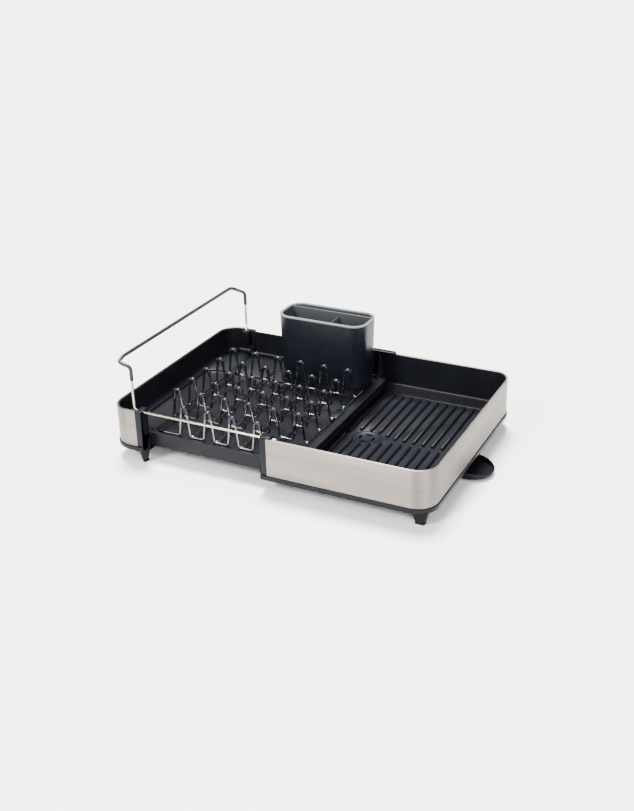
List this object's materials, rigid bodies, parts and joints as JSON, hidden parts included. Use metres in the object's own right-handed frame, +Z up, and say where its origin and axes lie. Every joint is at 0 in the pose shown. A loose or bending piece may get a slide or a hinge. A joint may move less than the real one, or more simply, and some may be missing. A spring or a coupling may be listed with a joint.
{
  "type": "expandable dish drying rack",
  "caption": "Expandable dish drying rack: ribbed drain tray with swivel spout, sliding inner tray, wire plate rack, lift-out cutlery holder and handle.",
  "frame": {"origin": "middle of the extended rack's footprint, on the surface it stands on", "axes": "+X along the pull-out direction towards the spout, +Y towards the cutlery holder's side, +Z up"},
  "size_m": [0.5624, 0.3676, 0.1699],
  "materials": {
    "charcoal": "moulded, semi-gloss, dark charcoal blue",
    "steel": "fine brushing along the length",
    "wire": "bright polished wire",
    "sleeve": "matt soft coating",
    "liner": "fine moulded grain, grey",
    "rubber": "matt"
  },
  "bodies": {
    "outer": {"outer_tray": "charcoal", "outer_steel_band": "steel", "drain_strainer": "charcoal", "drain_seal": "rubber", "front_rail_guide": "charcoal", "rear_wall_guide": "charcoal", "outer_front_pad": "rubber", "outer_front_inboard_pad": "rubber", "outer_rear_pad": "rubber", "outer_rear_inboard_pad": "rubber"},
    "inner": {"inner_tray": "charcoal", "inner_steel_band": "steel", "support_wire": "wire", "handle_sleeve": "sleeve", "inner_front_pad": "rubber", "inner_rear_pad": "rubber"},
    "rack": {"rack_loop_wire": "wire", "rack_edge_wire": "wire", "rack_base_wire_1": "wire", "rack_base_wire_2": "wire", "rack_base_wire_3": "wire", "rack_base_wire_4": "wire", "rack_row_1": "wire", "rack_row_2": "wire", "rack_row_3": "wire", "rack_row_4": "wire", "rack_row_5": "wire"},
    "cutlery_holder": {"holder_shell": "charcoal", "holder_liner": "liner", "holder_divider": "liner"},
    "spout": {"spout_arm": "charcoal", "spout_collar": "charcoal"}
  },
  "joints": [
    {"name": "tray_slide", "type": "slide", "parent": "outer", "child": "inner", "axis": [1, 0, 0], "range_m": [0, 0.205]},
    {"name": "rack_lift", "type": "slide", "parent": "inner", "child": "rack", "axis": [0, 0, 1], "range_m": [0, 0.13]},
    {"name": "cutlery_lift", "type": "slide", "parent": "inner", "child": "cutlery_holder", "axis": [0, 0, 1], "range_m": [0, 0.13]},
    {"name": "spout_swivel", "type": "hinge", "parent": "outer", "child": "spout", "pos_m": [0.0732, 0, 0.012], "axis": [0, 0, 1], "range_deg": [-100, 100]}
  ]
}
